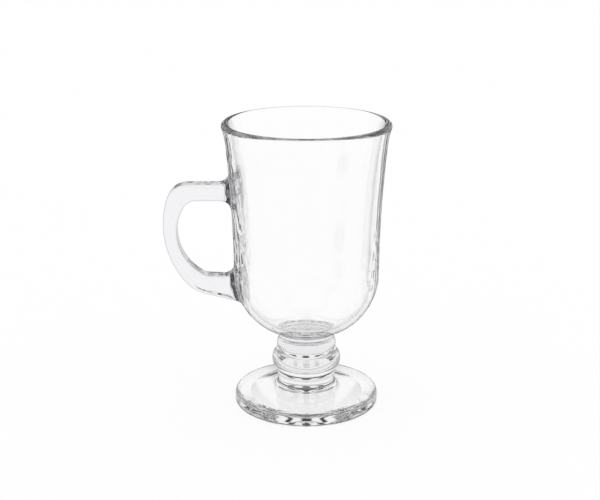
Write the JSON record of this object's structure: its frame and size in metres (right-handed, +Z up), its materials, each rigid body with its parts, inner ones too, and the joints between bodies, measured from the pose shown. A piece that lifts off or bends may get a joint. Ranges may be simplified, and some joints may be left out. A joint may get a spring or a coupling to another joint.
{
  "type": "irish coffee glass mug",
  "caption": "Clear glass mug for irish coffee: tulip bowl with an out-turned lip, side strap handle, short beaded stem and a thick round foot.",
  "frame": {"origin": "centre of the foot's bearing ring, on the plane the mug stands on", "axes": "+Z up the turning axis of bowl, stem and foot; the handle lies in the XZ plane and points to -X; Y is across the handle"},
  "size_m": [0.1054, 0.078, 0.136],
  "materials": {
    "clear_glass": "clear pressed soda-lime glass, fire-polished"
  },
  "bodies": {
    "root": {"bowl": "clear_glass", "upper_collar": "clear_glass", "knop": "clear_glass", "lower_collar": "clear_glass", "foot": "clear_glass", "handle": "clear_glass"}
  },
  "joints": []
}
